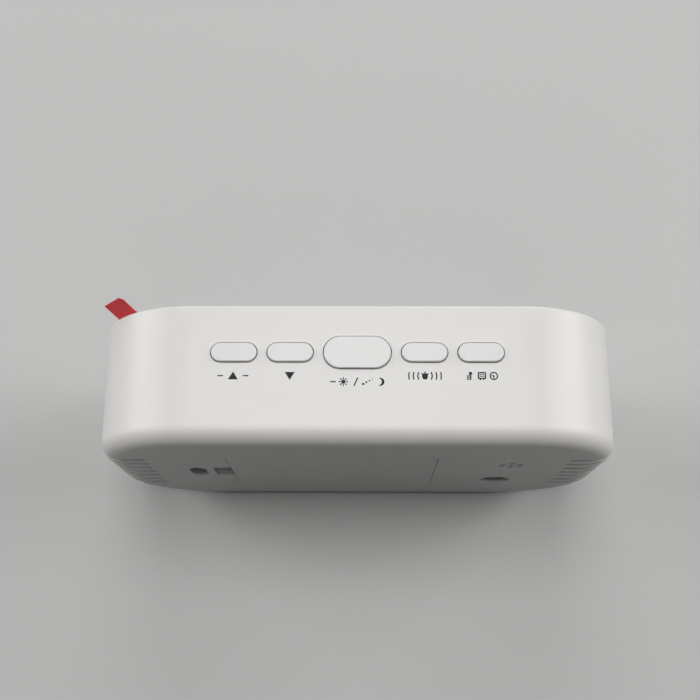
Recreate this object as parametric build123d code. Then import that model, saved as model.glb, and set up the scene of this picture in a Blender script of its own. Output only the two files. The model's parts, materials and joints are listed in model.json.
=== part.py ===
from build123d import *
import math
import os

# A small digital LED desk clock. Millimetres, +Z up, the display faces -Y, the battery door faces +Y.
# The origin is on the surface it stands on, under the middle of the body.

# Body shell
body_width = 134.0
body_depth = 35.0
body_height = 75.5
corner_radius = 26.0
rear_edge_radius = 4.4
front_edge_radius = 0.8
wall = 2.2
overrun = 1.0

# Rubber feet, sunk into seats in the base
foot_radius = 4.5
foot_height = 1.2
foot_proud = 0.5
foot_inset_x = 33.0
foot_inset_y = 8.0
foot_edge_radius = 0.3

# Lens, tape, film and pull tab on the front
lens_gap = 0.15
lens_thickness = 2.0
lens_edge_chamfer = 0.3
tape_thickness = 0.3
tape_width = 5.0
film_inset = 0.5
film_thickness = 0.12
tab_thickness = 0.15
tab_width = 9.0
tab_angle = 39.0
tab_offset = 1.6
tab_bond_length = 7.0
tab_crease_reach = 24.0
tab_crease_radius = 2.0
tab_lift_angle = 32.0
tab_free_length = 5.1
tab_corner_cut = 1.0

# Inner frame that carries the display, screwed to four long posts
frame_gap = 0.2
frame_thickness = 2.0
frame_window_gap = 0.2
frame_pad_radius = 4.0
frame_pad_height = 1.7
frame_pad_edge_gap = 1.1
frame_post_radius = 3.0
frame_post_angle = 30.0

# Screws, all for plastic: a large size for the frame and a small size for the boards
screw_clearance = 0.05
screw_hole_gap = 0.2
large_shank_radius = 1.3
large_shank_length = 9.0
large_head_radius = 2.4
large_head_height = 1.5
small_shank_radius = 0.9
small_shank_length = 5.0
small_head_radius = 1.8
small_head_height = 1.2
drive_radius_share = 0.5
drive_depth_share = 0.6
pilot_extra_depth = 1.0

# Display: reflector block, light bars and their diodes
segment_thickness = 3.0
segment_gap = 0.4
digit_gap = 8.5
colon_room = 8.0
colon_dot_radius = 1.6
colon_dot_spacing = 11.0
reflector_border_x = 4.0
reflector_border_z = 3.5
reflector_depth = 7.0
diode_well_depth = 5.0
diode_length = 2.0
diode_width = 1.25
diode_height = 0.8
digits_shown = "1028"
segments_of = {"0": "abcdef", "1": "bc", "2": "abdeg", "8": "abcdefg"}
all_segments = "abcdefg"

# Boards
board_thickness = 1.6
board_corner_radius = 1.0
display_board_margin_x = 2.0
display_board_margin_z = 6.0
display_board_side_gap = 3.75
display_board_top_gap = 2.05
display_post_radius = 2.4
display_post_inset = 3.2

# Small parts on the back of the display board
chip_size = 12.0
chip_height = 1.6
chip_chamfer = 0.25
driver_chip_length = 8.0
driver_chip_width = 5.0
driver_chip_height = 1.4
driver_chip_spacing = 44.0
chip_drop = 6.0
crystal_radius = 1.0
crystal_length = 6.0
crystal_drop = 15.0
capacitor_radius = 3.15
capacitor_end_gap = 2.9
capacitor_edge_radius = 0.5
capacitor_offset_x = 25.0
capacitor_drop = 13.0
socket_length = 12.0
socket_width = 4.4
socket_height = 5.0
socket_wall = 0.8
socket_depth = 3.0
socket_below_edge = 0.2

# Buttons in a row along the top
button_row_from_front = 12.3
button_row_end_gap = 4.15
small_button_width = 4.8
snooze_button_length = 16.5
snooze_button_width = 8.1
button_spacing_gap = 2.65
button_hole_gap = 0.25
button_proud = 0.5
button_crown_radius = 0.3
button_flange_width = 0.9
button_flange_thickness = 1.0
button_flange_gap = 0.1
button_stem_radius = 1.6
button_stem_length = 1.8
button_travel = 0.5

# Push switches under the buttons
switch_size = 6.0
switch_body_height = 3.5
switch_corner_radius = 0.4
plunger_radius = 1.65
plunger_gap = 0.1
plunger_stand = 1.5
plunger_sunk = 1.3
plunger_end_gap = 0.2

# Board under the buttons, hung from four posts
button_post_radius = 2.4
button_post_end_gap = 3.4
button_post_row_gap = 0.5
button_board_end_margin = 3.6
button_board_front_reach = 5.0
button_board_rear_margin = 3.2
ribbon_width = 9.0
ribbon_thickness = 0.5

# Battery bay: three small round cells one above the other
cell_names = ("top", "middle", "bottom")
cell_radius = 5.25
cell_length = 44.5
cell_nub_radius = 1.9
cell_nub_length = 0.8
cell_edge_radius = 0.5
cell_pitch = 11.2
cell_floor_gap = 0.2
cell_door_gap = 0.4
cell_end_gap = 0.1
contact_thickness = 0.4
contact_size = 9.0
contact_rear_reach = 3.0
contact_end_play = 0.3
spring_room = 4.6
spring_wire = 0.6
spring_turns = 4
spring_base_radius = 3.0
spring_tip_radius = 2.0
contact_tail_width = 2.4
contact_tail_length = 1.5
contact_tail_gap = 0.1
bay_offset = 6.55
bay_ledge_end = 2.3
bay_ledge_side = 1.2
bay_wall = 1.2
bay_floor = 1.4

# Battery door with two tongues and a bent latch
door_thickness = 1.6
door_gap = 0.15
door_seat_gap = 0.1
door_corner_radius = 1.0
tongue_width = 4.0
tongue_reach = 2.2
tongue_root = 1.8
tongue_thickness = 1.4
tongue_gap = 0.15
tongue_side_gap = 0.4
tongue_swing_room = 1.2
latch_strip = 1.0
latch_width = 8.0
latch_bend_radius = 0.8
latch_leg = 3.4
latch_tip_sunk = 1.8
pocket_width = 11.5
pocket_length = 4.85
pocket_depth = 3.0
latch_room = 0.65
latch_slot_depth = 7.6
pocket_floor = 1.2

# Slide switch behind an oval window
window_width = 4.6
window_height = 10.0
slider_body_width = 6.0
slider_side_gap = 0.2
slider_body_height = 13.0
slider_body_depth = 4.5
slider_knob_width = 2.8
slider_knob_height = 3.4
slider_knob_edge = 0.3
slider_gap = 0.1
slider_slot_depth = 2.2
slider_knob_sunk = 1.7
slider_knob_below_face = 0.5
slider_travel = 3.2

# Power jack and its small board, between the bay and the frame posts
jack_place_share = 0.53035
jack_height = 26.2
jack_hole_radius = 4.1
jack_nose_gap = 0.2
jack_nose_below_face = 0.5
jack_bore_radius = 2.95
jack_block_behind_bore = 5.7
jack_pin_radius = 0.95
jack_pin_below_face = 0.8
jack_body_width = 9.0
jack_body_height = 11.0
jack_body_front_margin = 1.0
jack_axis_height = 6.0
power_post_radius = 2.3
power_screw_side_gap = 0.6
power_board_margin = 2.3
power_board_front_gap = 6.9
power_board_rear_gap = 0.3

# Buzzer behind a ring of sound holes
buzzer_outside_jack = 1.7
buzzer_height = 48.0
buzzer_radius = 6.0
buzzer_depth = 6.5
buzzer_ring_gap = 0.15
buzzer_ring_wall = 1.2
buzzer_ring_height = 3.0
sound_hole_radius = 0.75
sound_hole_circle = 2.7
sound_hole_count = 6

# Grip grooves round both ends of the back
groove_pitch = 5.4
groove_width = 1.7
groove_depth = 0.9
groove_count = 7
groove_end_reach = 11.8
groove_round_the_side = 7.0

# Wires inside
wire_radius = 0.55
wire_pair_gap = 0.9
wire_straight_share = 0.3
wire_bend_radius = 1.4
lead_run = 6.0
lead_edge_gap = 6.0

# Planes and heights worked out from the sizes above
front_face = -body_depth / 2
rear_face = body_depth / 2
rear_inside = rear_face - wall
body_bottom = foot_proud
body_top = foot_proud + body_height
top_inside = body_top - wall
mid_height = foot_proud + body_height / 2
corner_x = body_width / 2 - corner_radius
corner_z = body_height / 2 - corner_radius
lens_back = front_face + lens_thickness
frame_front = lens_back + tape_thickness
frame_back = frame_front + frame_thickness
display_back = frame_front + reflector_depth
board_back = display_back + board_thickness

button_row_y = front_face + button_row_from_front
button_row_half = corner_x - button_row_end_gap - button_flange_width
small_button_length = (button_row_half - snooze_button_length / 2) / 2 - button_spacing_gap
inner_button_x = snooze_button_length / 2 + button_spacing_gap + small_button_length / 2
outer_button_x = inner_button_x + small_button_length + button_spacing_gap
flange_top = top_inside - button_flange_gap
flange_bottom = flange_top - button_flange_thickness
plunger_top = flange_bottom - button_stem_length
switch_top = plunger_top - plunger_stand
button_board_top = switch_top - switch_body_height
button_board_bottom = button_board_top - board_thickness

# The frame's posts stand inside the body's corners, and the display fits between them
frame_post_reach = corner_radius - wall - frame_gap - frame_pad_radius - frame_pad_edge_gap
frame_post_x = corner_x + frame_post_reach * math.cos(math.radians(frame_post_angle))
frame_post_z = corner_z + frame_post_reach * math.sin(math.radians(frame_post_angle))
display_board_width = 2 * (frame_post_x - frame_pad_radius - display_board_side_gap)
display_board_top = button_board_bottom - display_board_top_gap
display_board_height = 2 * (display_board_top - mid_height)
reflector_width = display_board_width - 2 * display_board_margin_x
reflector_height = display_board_height - 2 * display_board_margin_z
light_bar_depth = reflector_depth - diode_well_depth

# Two digits and half the colon fill each half of the reflector
digit_row_half = reflector_width / 2 - reflector_border_x
digit_pitch = (digit_row_half - (segment_thickness - digit_gap + colon_room) / 2) / 2
digit_offset_inner = (colon_room + digit_pitch) / 2
digit_offset_outer = digit_offset_inner + digit_pitch
segment_span_x = digit_pitch - digit_gap
segment_span_z = reflector_height / 2 - reflector_border_z - segment_thickness / 2

contact_stack = contact_thickness + cell_end_gap
bay_length = cell_length + spring_room + 2 * contact_thickness + contact_end_play + cell_end_gap
bay_height = len(cell_names) * cell_pitch
door_width = bay_length + 2 * bay_ledge_end
door_height = bay_height + 2 * bay_ledge_side
door_left = bay_offset - door_width / 2
door_right = bay_offset + door_width / 2
door_inside = rear_face - door_thickness
door_seat = door_inside - door_seat_gap
cell_axis_y = door_seat - cell_door_gap - cell_radius
bay_bottom_y = cell_axis_y - cell_radius - cell_floor_gap
bay_front_y = bay_bottom_y - bay_floor
bay_left = bay_offset - bay_length / 2
bay_right = bay_offset + bay_length / 2
tongue_top = rear_inside - tongue_gap
tongue_bottom = tongue_top - tongue_thickness
latch_outer_radius = latch_bend_radius + latch_strip
pocket_end = door_right + door_gap + pocket_length
window_offset = pocket_end + bay_wall + slider_side_gap + slider_body_width / 2
capacitor_height = bay_front_y - board_back - capacitor_end_gap

bay_block_left = door_left - door_gap - bay_wall
jack_offset = jack_place_share * (frame_post_x - frame_post_radius + bay_block_left) - bay_block_left
buzzer_offset = jack_offset + buzzer_outside_jack
jack_z_bottom = jack_height - jack_axis_height
jack_mouth = rear_face - jack_nose_below_face
power_board_bottom = jack_z_bottom - board_thickness
power_board_front = board_back + power_board_front_gap
power_board_rear = rear_inside - power_board_rear_gap
power_post_spacing = jack_body_width + 2 * (small_head_radius + power_screw_side_gap)
jack_body_front = power_board_front + jack_body_front_margin
jack_bore_end = jack_body_front + jack_block_behind_bore

# The five buttons from left to right, as the person in front of the clock sees them
buttons = {
    "down": (outer_button_x, small_button_length, small_button_width),
    "up": (inner_button_x, small_button_length, small_button_width),
    "snooze": (0, snooze_button_length, snooze_button_width),
    "alarm": (-inner_button_x, small_button_length, small_button_width),
    "mode": (-outer_button_x, small_button_length, small_button_width),
}


def along_depth(outline, front, rear):
    # A flat outline, drawn as seen from the front, made solid between two depths
    return extrude(Plane.XZ.offset(-rear) * outline, amount=rear - front)


def upright(outline, low, high):
    # A flat outline, drawn as seen from above, made solid between two heights
    return extrude(Plane.XY.offset(low) * outline, amount=high - low)


def rod_depth(x, z, radius, front, rear):
    return along_depth(Pos(x, z) * Circle(radius), front, rear)


def rod_up(x, y, radius, low, high):
    return upright(Pos(x, y) * Circle(radius), low, high)


def along_width(y, z, radius, left, right):
    return extrude(Plane.YZ.offset(left) * Pos(y, z) * Circle(radius), amount=right - left)


def block(x, y, z):
    # A box from three pairs of limits
    middle = Pos((x[0] + x[1]) / 2, (y[0] + y[1]) / 2, (z[0] + z[1]) / 2)
    return middle * Box(x[1] - x[0], y[1] - y[0], z[1] - z[0])


def around(centre, size):
    # The two limits of a size set about its centre
    return (centre - size / 2, centre + size / 2)


def four_corners(spacing_a, spacing_b):
    return [(i * spacing_a / 2, j * spacing_b / 2) for i in (-1, 1) for j in (-1, 1)]


def rounded_plate(x, z, width, height, radius, front, rear):
    return along_depth(Pos(x, z) * RectangleRounded(width, height, radius), front, rear)


def body_outline(inset):
    shape = RectangleRounded(body_width - 2 * inset, body_height - 2 * inset, corner_radius - inset)
    return Pos(0, mid_height) * shape


def body_solid(inset, front):
    # The body's outer form, or the same form set in by an equal amount
    solid = along_depth(body_outline(inset), front, rear_face - inset)
    return fillet(solid.edges().group_by(Axis.Y)[-1], rear_edge_radius - inset)


def screw(shank_radius, shank_length, head_radius, head_height):
    # Pan head on top, shank down along -Z, the head's underside at the origin
    head = fillet(rod_up(0, 0, head_radius, 0, head_height).edges().group_by(Axis.Z)[-1], head_height / 3)
    shank = rod_up(0, 0, shank_radius, -shank_length, 0)
    tip = chamfer(shank.edges().group_by(Axis.Z)[0], shank_radius / 2)
    drive_radius = head_radius * drive_radius_share
    drive_depth = head_height * drive_depth_share
    slot_height = (head_height - drive_depth, head_height)
    slot = block(around(0, 2 * drive_radius), around(0, drive_radius / 2), slot_height)
    cross = slot + Rot(0, 0, 90) * slot
    return head + tip - cross


def large_screw():
    return screw(large_shank_radius, large_shank_length, large_head_radius, large_head_height)


def small_screw():
    return screw(small_shank_radius, small_shank_length, small_head_radius, small_head_height)


# Housing


def button_holes():
    holes = []
    for x, length, width in buttons.values():
        slot = SlotOverall(length + 2 * button_hole_gap, width + 2 * button_hole_gap)
        holes.append(upright(Pos(x, button_row_y) * slot, top_inside - overrun, body_top + overrun))
    return holes


def foot_places():
    return four_corners(body_width - 2 * foot_inset_x, body_depth - 2 * foot_inset_y)


def frame_post_places():
    return [(x, mid_height + z) for x, z in four_corners(2 * frame_post_x, 2 * frame_post_z)]


def button_post_places():
    # Two posts outside the row and two behind the inner buttons
    end_x = outer_button_x + small_button_length / 2 + button_post_end_gap
    flange_edge = button_row_y + small_button_width / 2 + button_flange_width
    rear_y = flange_edge + button_post_row_gap + button_post_radius
    return [
        (-end_x, button_row_y),
        (end_x, button_row_y),
        (-inner_button_x, rear_y),
        (inner_button_x, rear_y),
    ]


def power_post_places():
    y = (power_board_front + power_board_rear) / 2
    return [(-jack_offset + side * power_post_spacing / 2, y) for side in (-1, 1)]


def housing_posts():
    posts = []
    frame_seat = frame_back + frame_pad_height
    for x, z in frame_post_places():
        posts.append(rod_depth(x, z, frame_post_radius, frame_seat, rear_inside + wall / 2))
    for x, y in button_post_places():
        posts.append(rod_up(x, y, button_post_radius, button_board_top, top_inside + wall / 2))
    for x, y in power_post_places():
        posts.append(rod_up(x, y, power_post_radius, body_bottom + wall / 2, power_board_bottom))
    return posts


def housing_pilots():
    holes = []
    frame_seat = frame_back + frame_pad_height
    large_hole = large_shank_radius + screw_clearance
    small_hole = small_shank_radius + screw_clearance
    small_depth = small_shank_length - board_thickness + pilot_extra_depth
    for x, z in frame_post_places():
        depth = large_shank_length + pilot_extra_depth
        holes.append(rod_depth(x, z, large_hole, frame_seat, frame_seat + depth))
    for x, y in button_post_places():
        holes.append(rod_up(x, y, small_hole, button_board_top, button_board_top + small_depth))
    for x, y in power_post_places():
        holes.append(rod_up(x, y, small_hole, power_board_bottom - small_depth, power_board_bottom))
    return holes


def tongue_heights():
    # The tongues reach into the valleys between the round cells
    return [mid_height + side * cell_pitch / 2 for side in (-1, 1)]


def bay_block():
    width = door_width + 2 * (door_gap + bay_wall)
    height = door_height + 2 * (door_gap + bay_wall)
    bay_y = (bay_front_y, rear_inside + wall / 2)
    bay = block(around(bay_offset, width), bay_y, around(mid_height, height))
    pocket_x = (door_right, pocket_end + bay_wall)
    pocket_y = (rear_face - latch_slot_depth - pocket_floor, rear_inside + wall / 2)
    pocket = block(pocket_x, pocket_y, around(mid_height, pocket_width + 2 * bay_wall))
    return bay + pocket


def latch_limits():
    # From the latch's inner leg at the door's edge to its outer leg in the finger pocket
    start = door_right - latch_strip
    return (start, start + 2 * latch_outer_radius)


def bay_cuts():
    seat_width = door_width + 2 * door_gap
    seat_height = door_height + 2 * door_gap
    seat_y = (door_seat, rear_face + overrun)
    seat = block(around(bay_offset, seat_width), seat_y, around(mid_height, seat_height))
    room = block((bay_left, bay_right), (bay_bottom_y, rear_face), around(mid_height, bay_height))
    pocket_y = (rear_face - pocket_depth, rear_face + overrun)
    pocket = block((door_right, pocket_end), pocket_y, around(mid_height, pocket_width))
    low, high = latch_limits()
    slot_x = (low - latch_room, high + latch_room)
    slot = block(slot_x, (rear_face - latch_slot_depth, rear_face), around(mid_height, pocket_width))
    cuts = [seat, room, pocket, slot]
    swing = tongue_reach + tongue_swing_room
    swing_bottom = rear_face - math.hypot(tongue_reach, rear_face - tongue_bottom) - tongue_swing_room / 2
    for z in tongue_heights():
        height = around(z, tongue_width + 2 * tongue_side_gap)
        cuts.append(block((door_left - swing, bay_left + overrun), (swing_bottom, rear_inside), height))
        cuts.append(block((door_left - door_gap, bay_left + overrun), (swing_bottom, rear_face), height))
    for x, z in contact_tail_places():
        tail_x = (x - contact_tail_gap, x + contact_thickness + contact_tail_gap)
        tail_y = (bay_front_y - overrun, bay_bottom_y + overrun)
        cuts.append(block(tail_x, tail_y, around(z, contact_tail_width + 2 * contact_tail_gap)))
    return cuts


def back_openings():
    window = Pos(window_offset, mid_height) * SlotOverall(window_height, window_width, rotation=90)
    cuts = [along_depth(window, rear_inside - overrun, rear_face + overrun)]
    holes = [(-jack_offset, jack_height, jack_hole_radius)]
    holes += [(x, z, sound_hole_radius) for x, z in sound_hole_places()]
    for x, z, radius in holes:
        cuts.append(rod_depth(x, z, radius, rear_inside - overrun, rear_face + overrun))
    return cuts


def sound_hole_places():
    places = [(-buzzer_offset, buzzer_height)]
    for turn in range(sound_hole_count):
        angle = math.radians(360 * turn / sound_hole_count)
        x = -buzzer_offset + sound_hole_circle * math.sin(angle)
        z = buzzer_height + sound_hole_circle * math.cos(angle)
        places.append((x, z))
    return places


def buzzer_ring():
    inner = buzzer_radius + buzzer_ring_gap
    front = rear_inside - buzzer_ring_height
    place = (-buzzer_offset, buzzer_height)
    outer = rod_depth(*place, inner + buzzer_ring_wall, front, rear_inside + wall / 2)
    return outer - rod_depth(*place, inner, front - overrun, rear_inside)


def grip_grooves():
    # Shallow bands that follow the body's surface from the back round to the sides
    skin = body_solid(0, front_face) - body_solid(groove_depth, front_face - overrun)
    bands = []
    for number in range(groove_count):
        z = mid_height + (number - (groove_count - 1) / 2) * groove_pitch
        for side in (-1, 1):
            inner = body_width / 2 - groove_end_reach
            x = sorted((side * inner, side * (body_width / 2 + overrun)))
            y = (rear_face - groove_round_the_side, rear_face + overrun)
            bands.append(block(x, y, around(z, groove_width)))
    return [skin & band for band in bands]


def make_housing():
    outer = body_solid(0, front_face)
    outer = fillet(outer.edges().group_by(Axis.Y)[0], front_edge_radius)
    shell = outer - body_solid(wall, front_face - overrun)
    shell = shell + (bay_block() & outer) + [post & outer for post in housing_posts()] + buzzer_ring()
    shell = shell - bay_cuts() - back_openings() - button_holes() - housing_pilots() - grip_grooves()
    for x, y in foot_places():
        shell = shell - rod_up(x, y, foot_radius, body_bottom - overrun, foot_height)
    return shell


def make_feet():
    feet = []
    for x, y in foot_places():
        foot = rod_up(x, y, foot_radius, 0, foot_height)
        feet.append(fillet(foot.edges().group_by(Axis.Z)[0], foot_edge_radius))
    return feet


# Front: lens, tape, film, pull tab and inner frame


def make_lens():
    lens = along_depth(body_outline(wall + lens_gap), front_face, lens_back)
    return chamfer(lens.edges().group_by(Axis.Y)[0], lens_edge_chamfer)


def make_lens_tape():
    outer = body_outline(wall + lens_gap)
    inner = body_outline(wall + lens_gap + tape_width)
    return along_depth(outer - inner, lens_back, frame_front)


def make_film():
    outline = body_outline(wall + lens_gap + film_inset)
    return along_depth(outline, front_face - film_thickness, front_face)


def make_pull_tab():
    # Stood at the front's upper right corner: local x runs out from the corner's centre, local y is depth
    turn = math.radians(tab_angle)
    outward = (math.cos(turn), 0, math.sin(turn))
    across = (-math.sin(turn), 0, math.cos(turn))
    stand = Plane(origin=(corner_x, 0, mid_height + corner_z), x_dir=outward, z_dir=across)
    back = front_face - film_thickness
    lift = math.radians(tab_lift_angle)

    def on_bend(inset, angle):
        reach = tab_crease_radius - inset
        x = tab_crease_reach + reach * math.sin(angle)
        return (x, back - tab_crease_radius + reach * math.cos(angle))

    def on_tip(inset):
        x, y = on_bend(inset, lift)
        return (x + tab_free_length * math.cos(lift), y - tab_free_length * math.sin(lift))

    start = tab_crease_reach - tab_bond_length
    sides = [Line((start, back), (start, back - tab_thickness)), Line(on_tip(0), on_tip(tab_thickness))]
    for inset in (0, tab_thickness):
        sides.append(Line((start, back - inset), on_bend(inset, 0)))
        sides.append(ThreePointArc(on_bend(inset, 0), on_bend(inset, lift / 2), on_bend(inset, lift)))
        sides.append(Line(on_bend(inset, lift), on_tip(inset)))
    low = tab_offset - tab_width / 2
    strip = extrude(stand.offset(low) * make_face(sides), amount=tab_width)
    corner = (stand.offset(low + tab_width) * Pos(*on_tip(tab_thickness / 2))).position
    tip_edge = strip.edges().sort_by_distance(corner)[0]
    return chamfer(tip_edge, tab_corner_cut)


def reflector_outline(gap):
    return Pos(0, mid_height) * Rectangle(reflector_width + 2 * gap, reflector_height + 2 * gap)


def display_post_places():
    width = display_board_width - 2 * display_post_inset
    height = display_board_height - 2 * display_post_inset
    return [(x, mid_height + z) for x, z in four_corners(width, height)]


def make_inner_frame():
    outline = body_outline(wall + frame_gap) - reflector_outline(frame_window_gap)
    frame = along_depth(outline, frame_front, frame_back)
    pad_back = frame_back + frame_pad_height
    head_floor = frame_front + large_head_height + frame_gap
    head_hole = large_head_radius + screw_hole_gap
    shank_hole = large_shank_radius + screw_hole_gap
    small_hole = small_shank_radius + screw_clearance
    for x, z in frame_post_places():
        frame = frame + rod_depth(x, z, frame_pad_radius, frame_front, pad_back)
        frame = frame - rod_depth(x, z, head_hole, frame_front - overrun, head_floor)
        frame = frame - rod_depth(x, z, shank_hole, frame_front, pad_back + overrun)
    for x, z in display_post_places():
        frame = frame + rod_depth(x, z, display_post_radius, frame_back, display_back)
        frame = frame - rod_depth(x, z, small_hole, frame_back, display_back + overrun)
    return frame


def make_frame_screws():
    y = frame_front + large_head_height + frame_gap
    return [Pos(x, y, z) * Rot(90, 0, 0) * large_screw() for x, z in frame_post_places()]


# Display


def bar_outline(length, thickness):
    half = length / 2
    shoulder = half - thickness / 2
    points = [(-half, 0), (-shoulder, -thickness / 2), (shoulder, -thickness / 2)]
    points += [(half, 0), (shoulder, thickness / 2), (-shoulder, thickness / 2)]
    return Polygon(*points, align=None)


def segment_places():
    # Letter of each of a digit's seven bars: its middle, its length and whether it stands upright
    side = segment_span_x / 2
    half = segment_span_z / 2
    flat = segment_span_x - 2 * segment_gap
    tall = segment_span_z - 2 * segment_gap
    return {
        "a": (0, segment_span_z, flat, False),
        "b": (side, half, tall, True),
        "c": (side, -half, tall, True),
        "d": (0, -segment_span_z, flat, False),
        "e": (-side, -half, tall, True),
        "f": (-side, half, tall, True),
        "g": (0, 0, flat, False),
    }


def digit_places():
    inner, outer = digit_offset_inner, digit_offset_outer
    return list(zip((-outer, -inner, inner, outer), digits_shown))


def display_marks():
    # Every bar and dot: its middle, a function that draws it smaller by a gap, and whether it is lit
    marks = []
    for digit_x, digit in digit_places():
        for letter in all_segments:
            x, z, length, is_tall = segment_places()[letter]
            place = Pos(digit_x + x, mid_height + z) * Rot(0, 0, 90 if is_tall else 0)
            is_lit = letter in segments_of[digit]
            marks.append((place, length, is_lit))
    for side in (-1, 1):
        place = Pos(0, mid_height + side * colon_dot_spacing / 2)
        marks.append((place, 0, True))
    return marks


def mark_outline(place, length, gap):
    if length:
        return place * bar_outline(length - 2 * gap, segment_thickness - 2 * gap)
    return place * Circle(colon_dot_radius - gap)


def make_reflector():
    solid = along_depth(reflector_outline(0), frame_front, display_back)
    for place, length, is_lit in display_marks():
        opening = mark_outline(place, length, 0)
        solid = solid - along_depth(opening, frame_front - overrun, display_back + overrun)
    return solid


def make_light_bars(lit):
    bars = []
    for place, length, is_lit in display_marks():
        if is_lit == lit:
            outline = mark_outline(place, length, screw_clearance)
            bars.append(along_depth(outline, frame_front, frame_front + light_bar_depth))
    return bars


def make_diodes():
    outline = Rectangle(diode_length, diode_width)
    return [
        along_depth(place * outline, display_back - diode_height, display_back)
        for place, length, is_lit in display_marks()
    ]


def make_display_board():
    size = (display_board_width, display_board_height)
    board = rounded_plate(0, mid_height, *size, board_corner_radius, display_back, board_back)
    hole_radius = small_shank_radius + screw_hole_gap
    for x, z in display_post_places():
        board = board - rod_depth(x, z, hole_radius, display_back - overrun, board_back + overrun)
    return board


def make_display_board_screws():
    return [Pos(x, board_back, z) * Rot(-90, 0, 0) * small_screw() for x, z in display_post_places()]


def on_board(x, z, width, height, depth):
    return block(around(x, width), (board_back, board_back + depth), around(z, height))


def make_clock_chip():
    chip = on_board(0, mid_height - chip_drop, chip_size, chip_size, chip_height)
    return chamfer(chip.edges().group_by(Axis.Y)[-1], chip_chamfer)


def make_driver_chips():
    z = mid_height - chip_drop
    size = (driver_chip_length, driver_chip_width, driver_chip_height)
    return [on_board(side * driver_chip_spacing / 2, z, *size) for side in (-1, 1)]


def make_crystal():
    place = (board_back + crystal_radius, mid_height - crystal_drop)
    return along_width(*place, crystal_radius, -crystal_length / 2, crystal_length / 2)


def make_capacitor():
    z = mid_height - capacitor_drop
    can = rod_depth(capacitor_offset_x, z, capacitor_radius, board_back, board_back + capacitor_height)
    return fillet(can.edges().group_by(Axis.Y)[-1], capacitor_edge_radius)


def socket_limits():
    top = display_board_top - socket_below_edge
    return (board_back, board_back + socket_height), (top - socket_width, top)


def make_ribbon_socket():
    y, z = socket_limits()
    body = block(around(0, socket_length), y, z)
    room_y = (y[0] + socket_wall, y[1] - socket_wall)
    room = block(around(0, socket_length - 2 * socket_wall), room_y, (z[1] - socket_depth, z[1] + overrun))
    return body - room


def make_button_ribbon():
    y, z = socket_limits()
    height = (z[1] - socket_depth, button_board_bottom)
    return block(around(0, ribbon_width), around(sum(y) / 2, ribbon_thickness), height)


# Buttons and push switches


def make_button(x, length, width):
    cap = upright(Pos(x, button_row_y) * SlotOverall(length, width), flange_bottom, body_top + button_proud)
    cap = fillet(cap.edges().group_by(Axis.Z)[-1], button_crown_radius)
    skirt = SlotOverall(length + 2 * button_flange_width, width + 2 * button_flange_width)
    flange = upright(Pos(x, button_row_y) * skirt, flange_bottom, flange_top)
    stem = rod_up(x, button_row_y, button_stem_radius, plunger_top, flange_bottom)
    return cap + flange + stem


def make_plunger(x):
    return rod_up(x, button_row_y, plunger_radius, switch_top - plunger_sunk, plunger_top)


def make_switch_body(x):
    outline = Pos(x, button_row_y) * RectangleRounded(switch_size, switch_size, switch_corner_radius)
    body = upright(outline, button_board_top, switch_top)
    hole_radius = plunger_radius + plunger_gap
    hole_depth = plunger_sunk + button_travel + plunger_end_gap
    return body - rod_up(x, button_row_y, hole_radius, switch_top - hole_depth, switch_top + overrun)


def make_button_board():
    places = button_post_places()
    half = places[1][0] + button_board_end_margin
    front = button_row_y - button_board_front_reach
    rear = places[2][1] + button_board_rear_margin
    outline = Pos(0, (front + rear) / 2) * RectangleRounded(2 * half, rear - front, board_corner_radius)
    board = upright(outline, button_board_bottom, button_board_top)
    for x, y in places:
        hole_radius = small_shank_radius + screw_hole_gap
        board = board - rod_up(x, y, hole_radius, button_board_bottom - overrun, button_board_top + overrun)
    return board


def make_button_board_screws():
    upside_down = Rot(180, 0, 0) * small_screw()
    return [Pos(x, y, button_board_bottom) * upside_down for x, y in button_post_places()]


# Battery bay


def cell_rows():
    # Height of each cell from the top down, and whether its plus end is on the left
    middle = (len(cell_names) - 1) / 2
    return [(mid_height + (middle - row) * cell_pitch, row % 2 == 0) for row in range(len(cell_names))]


def make_cell(z, plus_left):
    can = along_width(0, 0, cell_radius, cell_nub_length, cell_length)
    can = fillet(can.edges(), cell_edge_radius)
    cell = can + along_width(0, 0, cell_nub_radius, 0, cell_nub_length + cell_edge_radius)
    if plus_left:
        return Pos(bay_left + contact_stack, cell_axis_y, z) * cell
    return Pos(bay_right - contact_stack, cell_axis_y, z) * Rot(0, 0, 180) * cell


def contact_tail_places():
    # The two ends of the row of cells, where the leads start: left limit in x, and height
    rows = cell_rows()
    return [(bay_left, rows[-1][0]), (bay_right - contact_thickness, rows[0][0])]


def make_contact_plates():
    # At each end a plate with a tail for the single cell, and a plate that joins the other two
    rows = cell_rows()
    plates = []
    ends = [(bay_left, rows[2], rows[0:2]), (bay_right - contact_thickness, rows[0], rows[1:3])]
    for start, single, pair in ends:
        x = (start, start + contact_thickness)
        y = (cell_axis_y - contact_size / 2, cell_axis_y + contact_rear_reach)
        plate = block(x, y, around(single[0], contact_size))
        tail = block(x, (bay_front_y - contact_tail_length, y[0]), around(single[0], contact_tail_width))
        plates.append(plate + tail)
        joined_height = cell_pitch + contact_size
        plates.append(block(x, y, around((pair[0][0] + pair[1][0]) / 2, joined_height)))
    return plates


def spring_solid():
    # A cone of wire that stands on the contact plate and narrows towards the cell
    length = spring_room + contact_end_play - spring_wire - 2 * screw_clearance
    steps = 4 * spring_turns

    def place(step):
        angle = math.radians(90 * step)
        share = step / steps
        radius = spring_base_radius + (spring_tip_radius - spring_base_radius) * share
        x = spring_wire / 2 + screw_clearance + length * share
        return (x, radius * math.cos(angle), radius * math.sin(angle))

    arcs = [ThreePointArc(place(step), place(step + 0.5), place(step + 1)) for step in range(steps)]
    path = Wire(arcs)
    start = Plane(origin=path @ 0, z_dir=path % 0)
    return sweep(start * Circle(spring_wire / 2), path=path)


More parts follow.
